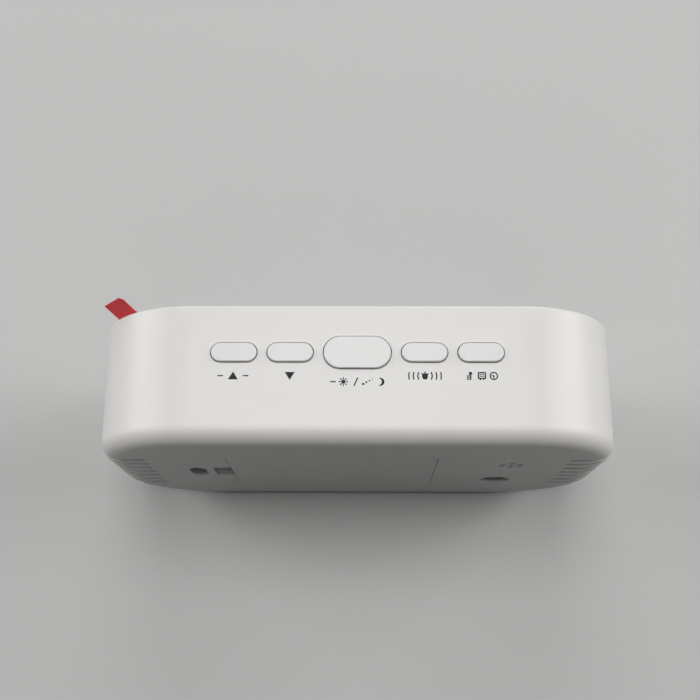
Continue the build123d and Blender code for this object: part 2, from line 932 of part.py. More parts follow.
def make_contact_springs():
    # Each cell's spring is at its minus end
    left = Pos(bay_left + contact_thickness, cell_axis_y) * spring_solid()
    right = Pos(bay_right - contact_thickness, cell_axis_y) * Rot(0, 0, 180) * spring_solid()
    return [Pos(0, 0, z) * (right if plus_left else left) for z, plus_left in cell_rows()]


def make_tongue(z):
    root = (door_left, door_left + tongue_root)
    reach = (door_left - tongue_reach, door_left + tongue_root)
    neck = block(root, (tongue_bottom, door_inside + door_thickness / 2), around(z, tongue_width))
    return neck + block(reach, (tongue_bottom, tongue_top), around(z, tongue_width))


def make_latch():
    # Seen from above: down at the door's edge, round a bend and up again in the finger pocket
    inner_leg, outer_leg = latch_limits()
    bend_x = door_right + latch_bend_radius
    bend_y = door_inside - latch_leg
    z = around(mid_height, latch_width)
    ring = Pos(bend_x, bend_y) * (Circle(latch_outer_radius) - Circle(latch_bend_radius))
    bend = upright(ring, *z) - block(around(bend_x, 4 * latch_outer_radius), (bend_y, door_inside), z)
    near = block((inner_leg, inner_leg + latch_strip), (bend_y, door_inside + door_thickness / 2), z)
    far = block((outer_leg - latch_strip, outer_leg), (bend_y, rear_face - latch_tip_sunk), z)
    return near + bend + far


def make_battery_door():
    size = (door_width, door_height, door_corner_radius)
    door = rounded_plate(bay_offset, mid_height, *size, door_inside, rear_face)
    for z in tongue_heights():
        door = door + make_tongue(z)
    return door + make_latch()


# Slide switch, power jack and buzzer


def make_slider_body():
    y = (rear_inside - slider_body_depth, rear_inside)
    body = block(around(window_offset, slider_body_width), y, around(mid_height, slider_body_height))
    slot_height = slider_knob_height + slider_travel + 2 * slider_gap
    slot_x = around(window_offset, slider_knob_width + 2 * slider_gap)
    slot_y = (rear_inside - slider_slot_depth, rear_inside + overrun)
    return body - block(slot_x, slot_y, around(mid_height, slot_height))


def make_slider_knob():
    y = (rear_inside - slider_knob_sunk, rear_face - slider_knob_below_face)
    z = mid_height - slider_travel / 2
    knob = block(around(window_offset, slider_knob_width), y, around(z, slider_knob_height))
    return fillet(knob.edges().group_by(Axis.Y)[-1], slider_knob_edge)


def make_jack_body():
    x = around(-jack_offset, jack_body_width)
    body = block(x, (jack_body_front, rear_inside), (jack_z_bottom, jack_z_bottom + jack_body_height))
    place = (-jack_offset, jack_height)
    nose = rod_depth(*place, jack_hole_radius - jack_nose_gap, rear_inside, jack_mouth)
    return body + nose - rod_depth(*place, jack_bore_radius, jack_bore_end, jack_mouth + overrun)


def make_jack_pin():
    pin_tip = jack_mouth - jack_pin_below_face
    pin = rod_depth(-jack_offset, jack_height, jack_pin_radius, jack_bore_end, pin_tip)
    return fillet(pin.edges().group_by(Axis.Y)[-1], jack_pin_radius / 2)


def make_power_board():
    size = (power_post_spacing + 2 * power_board_margin, power_board_rear - power_board_front)
    place = Pos(-jack_offset, (power_board_front + power_board_rear) / 2)
    board = upright(place * RectangleRounded(*size, board_corner_radius), power_board_bottom, jack_z_bottom)
    for x, y in power_post_places():
        hole_radius = small_shank_radius + screw_hole_gap
        board = board - rod_up(x, y, hole_radius, power_board_bottom - overrun, jack_z_bottom + overrun)
    return board


def make_power_board_screws():
    return [Pos(x, y, jack_z_bottom) * small_screw() for x, y in power_post_places()]


def make_buzzer():
    place = (-buzzer_offset, buzzer_height)
    body = rod_depth(*place, buzzer_radius, rear_inside - buzzer_depth, rear_inside)
    return body - rod_depth(*place, sound_hole_radius, rear_inside - overrun, rear_inside + overrun)


# Wires


def lead(start, end):
    # One wire that leaves its first piece forwards and runs back into the display board
    x, y, z = start
    straight = (y - board_back) * wire_straight_share
    points = [start, (x, y - straight, z), (end[0], board_back + straight, end[1])]
    points.append((end[0], board_back, end[1]))
    path = FilletPolyline(points, radius=min(wire_bend_radius, straight))
    return sweep(Plane(origin=start, z_dir=(0, -1, 0)) * Circle(wire_radius), path=path)


def lead_pair(start, end, spread=(1, 0)):
    half = wire_radius + wire_pair_gap / 2
    leads = []
    for side in (-1, 1):
        shift_x, shift_z = side * half * spread[0], side * half * spread[1]
        first = (start[0] + shift_x, start[1], start[2] + shift_z)
        leads.append(lead(first, (end[0] + shift_x, end[1] + shift_z)))
    return leads


def make_buzzer_leads():
    start = (-buzzer_offset, rear_inside - buzzer_depth, buzzer_height)
    return lead_pair(start, (-buzzer_offset + lead_run, buzzer_height - lead_run))


def make_power_leads():
    start = (-jack_offset, power_board_front, (power_board_bottom + jack_z_bottom) / 2)
    return lead_pair(start, (-jack_offset + lead_run, start[2] + lead_run))


def make_switch_leads():
    start = (window_offset, rear_inside - slider_body_depth, mid_height)
    board_end = display_board_width / 2 - lead_edge_gap
    return lead_pair(start, (board_end, mid_height + lead_run), spread=(0, 1))


def make_battery_leads():
    leads = []
    for side, (x, z) in zip((1, -1), contact_tail_places()):
        start = (x + contact_thickness / 2, bay_front_y - contact_tail_length, z)
        leads.append(lead(start, (start[0] + side * lead_run, z - side * lead_run)))
    return leads


def all_nodes():
    nodes = {
        "housing": make_housing(),
        "feet": make_feet(),
        "front_lens": make_lens(),
        "lens_tape": make_lens_tape(),
        "screen_film": make_film(),
        "film_pull_tab": make_pull_tab(),
        "inner_frame": make_inner_frame(),
        "frame_screws": make_frame_screws(),
        "display_reflector": make_reflector(),
        "lit_light_bars": make_light_bars(True),
        "dark_light_bars": make_light_bars(False),
        "segment_diodes": make_diodes(),
        "display_board": make_display_board(),
        "display_board_screws": make_display_board_screws(),
        "clock_chip": make_clock_chip(),
        "driver_chips": make_driver_chips(),
        "crystal": make_crystal(),
        "capacitor": make_capacitor(),
        "ribbon_socket": make_ribbon_socket(),
        "button_ribbon": make_button_ribbon(),
        "button_board": make_button_board(),
        "button_board_screws": make_button_board_screws(),
        "contact_plates": make_contact_plates(),
        "contact_springs": make_contact_springs(),
        "battery_door": make_battery_door(),
        "slide_switch_body": make_slider_body(),
        "slide_switch_knob": make_slider_knob(),
        "power_jack": make_jack_body(),
        "power_jack_pin": make_jack_pin(),
        "power_board": make_power_board(),
        "power_board_screws": make_power_board_screws(),
        "buzzer": make_buzzer(),
        "buzzer_leads": make_buzzer_leads(),
        "power_leads": make_power_leads(),
        "switch_leads": make_switch_leads(),
        "battery_leads": make_battery_leads(),
    }
    for name, (x, length, width) in buttons.items():
        nodes["button_" + name] = make_button(x, length, width)
        nodes["plunger_" + name] = make_plunger(x)
        nodes["push_switch_" + name] = make_switch_body(x)
    for name, (z, plus_left) in zip(cell_names, cell_rows()):
        nodes["battery_cell_" + name] = make_cell(z, plus_left)
    return nodes


os.makedirs("parts", exist_ok=True)
for node_name, shape in all_nodes().items():
    if isinstance(shape, list):
        shape = Compound(children=shape)
    export_step(shape, "parts/" + node_name + ".step")
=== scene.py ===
import json
import math
import bpy
import bmesh
from mathutils import Matrix, Vector


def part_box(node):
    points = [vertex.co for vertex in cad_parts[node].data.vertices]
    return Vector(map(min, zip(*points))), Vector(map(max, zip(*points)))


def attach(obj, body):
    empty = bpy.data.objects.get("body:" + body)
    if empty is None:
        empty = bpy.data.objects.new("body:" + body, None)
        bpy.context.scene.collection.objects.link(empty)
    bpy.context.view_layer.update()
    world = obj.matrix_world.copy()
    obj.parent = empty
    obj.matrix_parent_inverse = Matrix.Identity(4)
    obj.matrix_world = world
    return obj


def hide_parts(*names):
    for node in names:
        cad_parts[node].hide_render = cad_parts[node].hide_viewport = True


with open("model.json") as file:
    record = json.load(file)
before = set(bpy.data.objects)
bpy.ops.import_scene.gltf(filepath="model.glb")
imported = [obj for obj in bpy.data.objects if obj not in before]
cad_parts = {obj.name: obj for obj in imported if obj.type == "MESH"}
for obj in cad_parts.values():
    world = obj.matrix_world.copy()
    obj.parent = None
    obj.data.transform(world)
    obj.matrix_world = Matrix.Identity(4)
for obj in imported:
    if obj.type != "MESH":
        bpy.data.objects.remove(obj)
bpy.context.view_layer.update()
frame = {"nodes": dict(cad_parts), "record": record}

nodes = frame["nodes"]
mm = 0.001


# colours and shader nodes

def srgb(hexColour):
    values = [int(hexColour[i:i + 2], 16) / 255 for i in (1, 3, 5)]
    return [v / 12.92 if v <= 0.04045 else ((v + 0.055) / 1.055) ** 2.4 for v in values] + [1]


def addNode(tree, kind, settings=None, links=None):
    node = tree.nodes.new(kind)
    for name, value in (settings or {}).items():
        if isinstance(name, int) or name in node.inputs:
            node.inputs[name].default_value = value
        else:
            setattr(node, name, value)
    for name, source in (links or {}).items():
        tree.links.new(source, node.inputs[name])
    return node


def startMaterial(name):
    material = bpy.data.materials.new(name)
    material.use_nodes = True
    material.node_tree.nodes.clear()
    place = addNode(material.node_tree, "ShaderNodeTexCoord").outputs["Object"]
    return material, material.node_tree, place


def endMaterial(tree, settings, links):
    shader = addNode(tree, "ShaderNodeBsdfPrincipled", settings, links)
    addNode(tree, "ShaderNodeOutputMaterial", {}, {"Surface": shader.outputs[0]})


def plainFinish(name, dark, light, rough, grainMm, depthMm, settings, patchMm=15, roughSpread=0.03):
    # colour drifts faintly in patches, the gloss varies a little, and a fine grain breaks the highlight;
    # most real grains are under 0.1 mm and are drawn coarser, so that they show
    material, tree, place = startMaterial(name)
    drift = addNode(tree, "ShaderNodeTexNoise", {"Scale": 1 / (patchMm * mm), "Detail": 3},
                    {"Vector": place})
    colour = addNode(tree, "ShaderNodeMix", {"data_type": "RGBA", 6: srgb(dark), 7: srgb(light)},
                     {0: drift.outputs["Fac"]})
    uneven = addNode(tree, "ShaderNodeTexNoise", {"Scale": 3 / (patchMm * mm)}, {"Vector": place})
    gloss = addNode(tree, "ShaderNodeMapRange", {
        "To Min": rough - roughSpread, "To Max": rough + roughSpread}, {"Value": uneven.outputs["Fac"]})
    grain = addNode(tree, "ShaderNodeTexNoise", {"Scale": 1 / (grainMm * mm)}, {"Vector": place})
    bump = addNode(tree, "ShaderNodeBump", {"Distance": depthMm * mm}, {"Height": grain.outputs["Fac"]})
    endMaterial(tree, settings, {
        "Base Color": colour.outputs[2], "Roughness": gloss.outputs["Result"],
        "Normal": bump.outputs["Normal"]})
    return material


# white ABS from a finely eroded mould: milk white and satin, its grain blurs every reflection
absPlastic = {"IOR": 1.53}
caseWhite = plainFinish("moulded white ABS", "#DFDDDB", "#E3E1DF", 0.40, 0.30, 0.006, absPlastic)
# the caps come from a smoother mould, so their rims catch a tighter highlight
capWhite = plainFinish("moulded white ABS cap", "#DAD9D8", "#DEDDDC", 0.30, 0.30, 0.002, absPlastic)
# black ABS, matt, takes the light only on its edges
blackAbs = plainFinish("moulded black ABS", "#1B1B1C", "#202022", 0.52, 0.30, 0.01, absPlastic)
# nylon is waxy: dull, with a soft wide sheen
nylon = {"IOR": 1.53}
blackNylon = plainFinish("moulded black nylon", "#1E1E1F", "#262627", 0.45, 0.4, 0.01, nylon)
greyNylon = plainFinish("moulded grey nylon", "#3A3A3B", "#434344", 0.45, 0.4, 0.01, nylon)
paleNylon = plainFinish("moulded pale grey nylon", "#9C9C9B", "#A8A8A6", 0.45, 0.4, 0.01, nylon)
creamNylon = plainFinish("moulded cream nylon", "#DAD6C6", "#E2DECF", 0.45, 0.4, 0.01, nylon)
# silicone rubber, die cut: chalky grey with a dusty bloom
footRubber = plainFinish("die-cut silicone rubber", "#8A8A88", "#989896", 0.75, 0.5, 0.03, {"IOR": 1.41})
# closed-cell foam tape, dead black with tiny open cells at the cut
foamTape = plainFinish("closed-cell foam tape", "#101010", "#191919", 0.9, 0.25, 0.06, {"IOR": 1.45})
# zinc plate over steel: pale blue-grey, a little cloudy
metal = {"Metallic": 1.0}
zincSteel = plainFinish("zinc-plated steel", "#A9ABB0", "#C2C3C4", 0.33, 0.3, 0.01, metal, 4, 0.08)
# nickel plate over spring steel: warm bright metal, faintly mottled
nickelSteel = plainFinish("nickel-plated steel", "#BEB9AE", "#D3CEC3", 0.22, 0.25, 0.004, metal, 5, 0.06)
# drawn nickel silver: paler and cooler than the nickel, with softly blurred reflections
canMetal = plainFinish("drawn nickel silver", "#BDBDBD", "#D0D0CF", 0.2, 0.3, 0.003, metal, 4, 0.05)
# transfer-moulded epoxy: slate black and slightly frosted
epoxy = {"IOR": 1.55}
chipEpoxy = plainFinish("transfer-moulded epoxy", "#1D1E20", "#252628", 0.6, 0.12, 0.008, epoxy, 3)
# phosphor under clear resin: pale yellow and wet-looking
resin = {"IOR": 1.54}
diodeResin = plainFinish("cast resin over phosphor", "#E3D37A", "#EBDD8E", 0.12, 0.6, 0.004, resin, 2)
# shrunk PVC over an aluminium can: navy and glossy, drawn tight in soft waves
sleeveFilm = plainFinish("shrunk PVC sleeve", "#1C2136", "#232943", 0.25, 1.5, 0.02, {"IOR": 1.54}, 6)
# extruded PVC insulation: bright and smooth, a little uneven along the wire
softPvc = {"IOR": 1.53}
redWire = plainFinish("extruded red PVC", "#A01C18", "#B22420", 0.35, 0.8, 0.01, softPvc, 3)
blackWire = plainFinish("extruded black PVC", "#19191A", "#232324", 0.35, 0.8, 0.01, softPvc, 3)
# printed polyester: strong red and satin, duller where fingers marked it
polyester = {"IOR": 1.57}
redPolyester = plainFinish("printed red polyester", "#EA1E29", "#F02832", 0.4, 1.2, 0.01,
                           polyester, 4, 0.08)
# milky acrylic with no light behind it: a soft even grey
darkDiffuser = plainFinish("milky acrylic, unlit", "#6E7072", "#787A7C", 0.4, 0.6, 0.004, {"IOR": 1.49})
# pad-printed ink: a flat matt charcoal film
inkFilm = {"IOR": 1.5}
printInk = plainFinish("pad-printed charcoal ink", "#0E0E10", "#161618", 0.8, 0.25, 0.004, inkFilm, 1.5)
print("plain finishes")


boardLook = dict(mask="#14502B", overCopper="#2C7444", runMm=3.2, runShare=0.09, runSoft=0.1,
                 runShift=0.3, patch=0.08, copperMm=0.03)


def boardFinish():
    # glass-epoxy board under solder mask: bottle green, with paler runs where copper lies beneath
    material, tree, place = startMaterial("green solder mask on glass epoxy")
    patch = boardLook["patch"]
    runs = addNode(tree, "ShaderNodeTexBrick", {
        "Scale": 1 / (boardLook["runMm"] * mm), "Mortar Size": boardLook["runShare"],
        "Mortar Smooth": boardLook["runSoft"], "offset": boardLook["runShift"],
        "Color1": (0, 0, 0, 1), "Color2": (patch, patch, patch, 1), "Mortar": (1, 1, 1, 1)},
        {"Vector": place})
    colour = addNode(tree, "ShaderNodeMix", {
        "data_type": "RGBA", 6: srgb(boardLook["mask"]), 7: srgb(boardLook["overCopper"])},
        {0: runs.outputs["Color"]})
    bump = addNode(tree, "ShaderNodeBump", {"Distance": boardLook["copperMm"] * mm},
                   {"Height": runs.outputs["Color"]})
    endMaterial(tree, {"IOR": 1.5, "Roughness": 0.3}, {
        "Base Color": colour.outputs[2], "Normal": bump.outputs["Normal"]})
    return material


# the two colours are painted shade between the cores and a painted highlight along their crests
ribbonLook = dict(valleyPaintedShade="#7E7E80", ridgePaintedHighlight="#A0A0A2", coreMm=1.0, ridgeMm=0.2)
waveGap = 0.31  # how far apart the wave node's bands lie at a scale of one


def ribbonFinish():
    # flat grey cable: one rounded rise for every core; its colour is painted darker between the cores as
    # painted shade and paler along their crests as a painted highlight
    material, tree, place = startMaterial("extruded grey PVC ribbon")
    cores = addNode(tree, "ShaderNodeTexWave", {
        "Scale": waveGap / (ribbonLook["coreMm"] * mm), "bands_direction": "X"}, {"Vector": place})
    colour = addNode(tree, "ShaderNodeMix", {
        "data_type": "RGBA", 6: srgb(ribbonLook["valleyPaintedShade"]), 7: srgb(ribbonLook["ridgePaintedHighlight"])},
        {0: cores.outputs["Fac"]})
    bump = addNode(tree, "ShaderNodeBump", {"Distance": ribbonLook["ridgeMm"] * mm},
                   {"Height": cores.outputs["Fac"]})
    endMaterial(tree, {"IOR": 1.53, "Roughness": 0.4}, {
        "Base Color": colour.outputs[2], "Normal": bump.outputs["Normal"]})
    return material


def clearFinish(name, colour, ior, smooth, rough, patchMm):
    material, tree, place = startMaterial(name)
    uneven = addNode(tree, "ShaderNodeTexNoise", {"Scale": 1 / (patchMm * mm)}, {"Vector": place})
    gloss = addNode(tree, "ShaderNodeMapRange", {"To Min": smooth, "To Max": rough},
                    {"Value": uneven.outputs["Fac"]})
    endMaterial(tree, {"IOR": ior, "Transmission Weight": 1.0, "Base Color": srgb(colour)},
                {"Roughness": gloss.outputs["Result"]})
    return material


litLook = dict(body="#E8EAEC", light="#F2F6FF", weakest=7.6, strongest=9.0, patchMm=5)


def litFinish():
    # milky diffuser over a white diode: a cool white, a little uneven from bar to bar
    material, tree, place = startMaterial("milky acrylic, lit")
    uneven = addNode(tree, "ShaderNodeTexNoise", {"Scale": 1 / (litLook["patchMm"] * mm)},
                     {"Vector": place})
    glow = addNode(tree, "ShaderNodeMapRange", {
        "To Min": litLook["weakest"], "To Max": litLook["strongest"]}, {"Value": uneven.outputs["Fac"]})
    settings = {"IOR": 1.5, "Roughness": 0.4,
                "Base Color": srgb(litLook["body"]), "Emission Color": srgb(litLook["light"])}
    endMaterial(tree, settings, {"Emission Strength": glow.outputs["Result"]})
    return material


cellLook = dict(steel="#BFBDB8", sleeve="#3B4A57", ring="#D9DADA", smooth=0.24, rough=0.34, patchMm=3,
                # shares of the length, counted from the plus end
                sleeveStart=0.032, ringStart=0.10, ringEnd=0.135, sleeveEnd=0.985)


def cellFinish(name, plusEnd, minusEnd):
    # steel can in a plain shrunk sleeve: slate, with a pale ring near the plus end and bare metal ends
    material, tree, place = startMaterial(name)
    along = addNode(tree, "ShaderNodeSeparateXYZ", {}, {0: place}).outputs["X"]
    fromPlus = addNode(tree, "ShaderNodeMapRange", {"From Min": plusEnd, "From Max": minusEnd},
                       {"Value": along})
    steel, sleeve, ring = [cellLook[key] for key in ("steel", "sleeve", "ring")]
    bands = [(0.0, steel), (cellLook["sleeveStart"], sleeve), (cellLook["ringStart"], ring),
             (cellLook["ringEnd"], sleeve), (cellLook["sleeveEnd"], steel)]
    bare = [(0.0, "#FFFFFF"), (cellLook["sleeveStart"], "#000000"), (cellLook["sleeveEnd"], "#FFFFFF")]
    ramps = []
    for steps in (bands, bare):
        node = addNode(tree, "ShaderNodeValToRGB", {}, {"Fac": fromPlus.outputs["Result"]})
        node.color_ramp.interpolation = "CONSTANT"
        while len(node.color_ramp.elements) < len(steps):
            node.color_ramp.elements.new(1.0)
        for element, (share, colour) in zip(node.color_ramp.elements, steps):
            element.position = share
            element.color = srgb(colour)
        ramps.append(node.outputs["Color"])
    uneven = addNode(tree, "ShaderNodeTexNoise", {"Scale": 1 / (cellLook["patchMm"] * mm)},
                     {"Vector": place})
    gloss = addNode(tree, "ShaderNodeMapRange", {
        "To Min": cellLook["smooth"], "To Max": cellLook["rough"]}, {"Value": uneven.outputs["Fac"]})
    endMaterial(tree, {"IOR": 1.54}, {
        "Base Color": ramps[0], "Metallic": ramps[1], "Roughness": gloss.outputs["Result"]})
    return material


solderMask = boardFinish()
ribbonPvc = ribbonFinish()
# smoked acrylic, polished: a dark grey window that the digits shine through
smokedAcrylic = clearFinish("polished smoked acrylic", "#7C7C82", 1.49, 0.01, 0.03, 25)
# thin polyethylene: clear, its gloss softened in patches
clearFilm = clearFinish("clear polyethylene film", "#F4F6F8", 1.5, 0.02, 0.07, 12)
litDiffuser = litFinish()

bySlot = {
    "white_abs": caseWhite, "button_abs": capWhite, "black_abs": blackAbs,
    "switch_plunger": blackNylon, "switch_housing": greyNylon, "black_nylon": blackNylon,
    "white_nylon": creamNylon, "foot_rubber": footRubber, "tape_foam": foamTape,
    "lens_acrylic": smokedAcrylic, "clear_film": clearFilm, "red_tab": redPolyester,
    "lit_diffuser": litDiffuser, "dark_diffuser": darkDiffuser, "diode_resin": diodeResin,
    "circuit_board": solderMask, "chip_resin": chipEpoxy, "crystal_can": canMetal,
    "capacitor_sleeve": sleeveFilm, "cell_sleeve": sleeveFilm, "ribbon_jacket": ribbonPvc,
    "wire_jacket": redWire, "screw_steel": zincSteel, "nickel_plate": nickelSteel,
}
cellNames = ("top", "middle", "bottom")  # head to tail: the middle one lies the other way round
for part in frame["record"]["subparts"]:
    mesh = nodes[part["node"]].data
    mesh.materials.clear()
    mesh.materials.append(bySlot[part["material_slot"]])
for name in cellNames:
    low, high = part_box("battery_cell_" + name)
    ends = (high.x, low.x) if name == "middle" else (low.x, high.x)
    nodes["battery_cell_" + name].data.materials[0] = cellFinish("sleeved steel cell " + name, *ends)
# these are not the colour of the rest of their slot
nodes["switch_leads"].data.materials[0] = blackWire
nodes["slide_switch_body"].data.materials[0] = paleNylon
nodes["power_jack"].data.materials[0] = paleNylon
nodes["slide_switch_knob"].data.materials[0] = greyNylon
print("materials on", len(nodes), "nodes")


# pieces of mesh

def newPiece(name, build, body, material, smooth=False):
    mesh = bpy.data.meshes.new(name)
    bm = bmesh.new()
    build(bm)
    bmesh.ops.recalc_face_normals(bm, faces=bm.faces)
    for face in bm.faces:
        face.smooth = smooth
    bm.to_mesh(mesh)
    bm.free()
    piece = bpy.data.objects.new(name, mesh)
    bpy.context.scene.collection.objects.link(piece)
    mesh.materials.append(material)
    if body:
        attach(piece, body)
    return piece


def addLoops(bm, loops, closeEnds=True):
    # rings of equally many points, joined one to the next
    rings = [[bm.verts.new(point) for point in loop] for loop in loops]
    for first, second in zip(rings, rings[1:]):
        count = len(first)
        for i in range(count):
            j = (i + 1) % count
            bm.faces.new((first[i], first[j], second[j], second[i]))
    if closeEnds:
        bm.faces.new(rings[0])
        bm.faces.new(rings[-1])


# printed signs behind the buttons, drawn in millimetres, their tops towards the back

ink = dict(line=0.3, sunk=0.01, proud=0.02, stepUp=0.0004, smallRow=0.75, snoozeRow=2.25, weld=1e-5)
sunRays = dict(count=8, start=0.78, end=0.98)
waveArc = dict(halfHeight=0.95)
moon = dict(start=62, end=298, bite=0.52)
wedge = dict(halfWidth=1.2, base=0.95, tip=1.05)
bell = dict(brim=(0.98, -0.62), waist=(0.72, -0.3), crown=0.25)

rays = []
for turn in range(sunRays["count"]):
    angle = math.radians(360 / sunRays["count"] * turn)
    rays.append([reach * part for reach in (sunRays["start"], sunRays["end"])
                 for part in (math.cos(angle), math.sin(angle))])
clockSign = [("ring", 0, 0, 0.88), ("bar", 0, 0, 0, 0.5), ("bar", 0, 0, 0.38, -0.12)]
calendarSign = [("bar", -0.85, y, 0.85, y) for y in (-0.85, 0.62)]
calendarSign += [("bar", x, -0.85, x, 0.62) for x in (-0.85, 0.85)]
calendarSign += [("bar", x, 0.62, x, 0.95) for x in (-0.4, 0.4)]
calendarSign += [("dot", x, y, 0.16) for x in (-0.42, 0, 0.42) for y in (-0.42, 0.08)]
thermometerSign = [("dot", 0, -0.62, 0.42), ("bar", 0, -0.6, 0, 0.86), ("bar", 0.12, -0.6, 0.12, 0.86)]
thermometerSign += [("bar", 0.55, y, 0.8, y) for y in (0.0, 0.42, 0.84)]
bellSign = [("bell", 0, 0, 0.68), ("dot", 0, -0.86, 0.2)]
waveSign = [("arc", side, 0, radius) for side in (-1, 1) for radius in (1.75, 2.85, 3.95)]
dotsSign = [("dot", 0.75 * i, -0.7 + 0.42 * i, 0.14 + 0.05 * i) for i in range(4)]
lampSign = [("dot", 0, 0, 0.52)] + [("bar", *ray) for ray in rays]
moonSign = [("moon", 0, 0, 1.0)]
strokeSign = [("bar", -0.42, -0.95, 0.42, 0.95)]
dashSign = [("bar", -0.55, 0, 0.55, 0)]
signRows = {  # the signs of each button, each with its place along the row
    "mode": [(-2.9, clockSign), (0, calendarSign), (2.75, thermometerSign)],
    "alarm": [(0, bellSign), (0, waveSign)],
    "snooze": [(-5.6, moonSign), (-3.7, dotsSign), (0.35, strokeSign), (3.4, lampSign), (5.9, dashSign)],
    "up": [(0, [("wedge", 0, 0, 1.0)])],
    "down": [(0, [("wedge", 0, 0, -1.0)]), (-3.1, dashSign), (3.1, dashSign)],
}


def arcPoints(cx, cy, radius, start=0, end=360, steps=28):
    count = steps if end - start == 360 else steps + 1
    angles = [math.radians(start + (end - start) * i / steps) for i in range(count)]
    return [(cx + radius * math.cos(a), cy + radius * math.sin(a)) for a in angles]


def signOutlines(kind, x, y, *rest):
    # the outline of one shape, and for a ring its hole
    half = ink["line"] / 2
    if kind == "bar":
        x1, y1 = rest
        turn = math.degrees(math.atan2(y1 - y, x1 - x))
        nearEnd = arcPoints(x, y, half, turn + 90, turn + 270, steps=8)
        return [nearEnd + arcPoints(x1, y1, half, turn - 90, turn + 90, steps=8)]
    size = rest[0]
    if kind == "dot":
        return [arcPoints(x, y, size)]
    if kind == "ring":
        return [arcPoints(x, y, size + half), arcPoints(x, y, size - half)]
    if kind == "arc":  # x is the side that the arc bows to; its ends keep to the row's height
        middle = 0 if x > 0 else 180
        reach = math.degrees(math.asin(waveArc["halfHeight"] / size))
        outer, inner = [arcPoints(0, y, radius, middle - reach, middle + reach, steps=14)
                        for radius in (size + half, size - half)]
        return [outer + inner[::-1]]
    if kind == "moon":
        outer = arcPoints(x, y, size, moon["start"], moon["end"], steps=20)
        shift = moon["bite"] * size
        hollow = outer[0][0] - x - shift, outer[0][1] - y
        turn = math.degrees(math.atan2(hollow[1], hollow[0]))
        return [outer + arcPoints(x + shift, y, math.hypot(*hollow), 360 - turn, turn, steps=16)[1:-1]]
    if kind == "wedge":
        side, base = wedge["halfWidth"] * size, -wedge["base"] * size
        return [[(-side, base), (side, base), (0, wedge["tip"] * size)]]
    brimX, brimY = bell["brim"]
    waistX, waistY = bell["waist"]
    crown = arcPoints(x, bell["crown"], size, 180, 0, steps=12)
    return [[(-brimX, brimY), (-waistX, waistY)] + crown + [(waistX, waistY), (brimX, brimY)]]


def makeSigns():
    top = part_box("housing")[1].z
    foot = top - ink["sunk"] * mm
    for button, row in signRows.items():
        low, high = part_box("button_" + button)
        middle = (low.x + high.x) / 2 / mm
        rowY = ink["snoozeRow"] if button == "snooze" else ink["smallRow"]

        def build(bm):
            level = top + ink["proud"] * mm
            for place, shapes in row:
                for shape in shapes:
                    level += ink["stepUp"] * mm  # no two tops share a plane
                    loops = [[((middle + place + x) * mm, (rowY + y) * mm) for x, y in outline]
                             for outline in signOutlines(*shape)]
                    heights = [(loops[0], foot), (loops[0], level)]
                    if len(loops) == 2:  # a ring goes down its hole and closes on itself
                        heights += [(loops[1], level), (loops[1], foot), heights[0]]
                    addLoops(bm, [[(x, y, z) for x, y in loop] for loop, z in heights], len(loops) == 1)
            bmesh.ops.remove_doubles(bm, verts=bm.verts, dist=ink["weld"] * mm)
        newPiece("printed_sign_" + button, build, "case", printInk)


makeSigns()
print("printed signs")


# protective film: a thin sheet just off the lens, with low ripples

film = dict(corner=23.15, thickness=0.03, clear=0.015, ripple=0.022, columns=96, rows=56,
            waves=((7.3, 11, 0), (-17, 5.9, 1.3), (9.7, 9.7, 0.4)))  # each: along x, along z, phase


def makeFilm():
    low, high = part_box("screen_film")
    halfWidth, halfHeight = (high.x - low.x) / 2, (high.z - low.z) / 2
    midZ = (high.z + low.z) / 2
    corner = film["corner"] * mm

    def widthAt(z):
        over = max(0.0, abs(z) - (halfHeight - corner))
        return halfWidth - corner + math.sqrt(max(corner ** 2 - over ** 2, 0.0))

    def ripple(x, z):
        waves = [math.sin(x / mm / alongX + z / mm / alongZ + phase)
                 for alongX, alongZ, phase in film["waves"]]
        return film["ripple"] * mm * (sum(waves) + len(waves)) / len(waves)

    def build(bm):
        sheets = []
        for side in (0, 1):
            grid = []
            for i in range(film["rows"] + 1):
                turn = math.pi * (i / film["rows"] - 0.5)
                z = halfHeight * math.sin(turn)
                row = []
                for j in range(film["columns"] + 1):
                    x = widthAt(z) * (2 * j / film["columns"] - 1)
                    y = high.y - film["clear"] * mm - ripple(x, z) - side * film["thickness"] * mm
                    row.append(bm.verts.new((x, y, midZ + z)))
                grid.append(row)
            sheets.append(grid)
        for grid in sheets:
            for a, b in zip(grid, grid[1:]):
                for j in range(film["columns"]):
                    bm.faces.new((a[j], a[j + 1], b[j + 1], b[j]))
        rims = []
        for grid in sheets:
            thisWay = grid[0][:] + [row[-1] for row in grid[1:]]
            backAgain = grid[-1][-2::-1] + [row[0] for row in grid[-2:0:-1]]
            rims.append(thisWay + backAgain)
        near, far = rims
        for j in range(len(near)):
            k = (j + 1) % len(near)
            bm.faces.new((near[j], near[k], far[k], far[j]))
    piece = newPiece("protective_film", build, "case", clearFilm, smooth=True)
    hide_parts("screen_film")


makeFilm()
print("film")


# geometry node trees

def startTree(name, inputs):
    tree = bpy.data.node_groups.new(name, "GeometryNodeTree")
    tree.interface.new_socket("Geometry", in_out="INPUT", socket_type="NodeSocketGeometry")
    for label, kind in inputs.items():
        tree.interface.new_socket(label, in_out="INPUT", socket_type="NodeSocket" + kind)
    tree.interface.new_socket("Geometry", in_out="OUTPUT", socket_type="NodeSocketGeometry")
    return tree, addNode(tree, "NodeGroupInput").outputs


def endTree(tree, geometry, material):
    real = addNode(tree, "GeometryNodeRealizeInstances", {}, {0: geometry})
    coloured = addNode(tree, "GeometryNodeSetMaterial", {}, {0: real.outputs[0], "Material": material})
    addNode(tree, "NodeGroupOutput", {}, {0: coloured.outputs[0]})


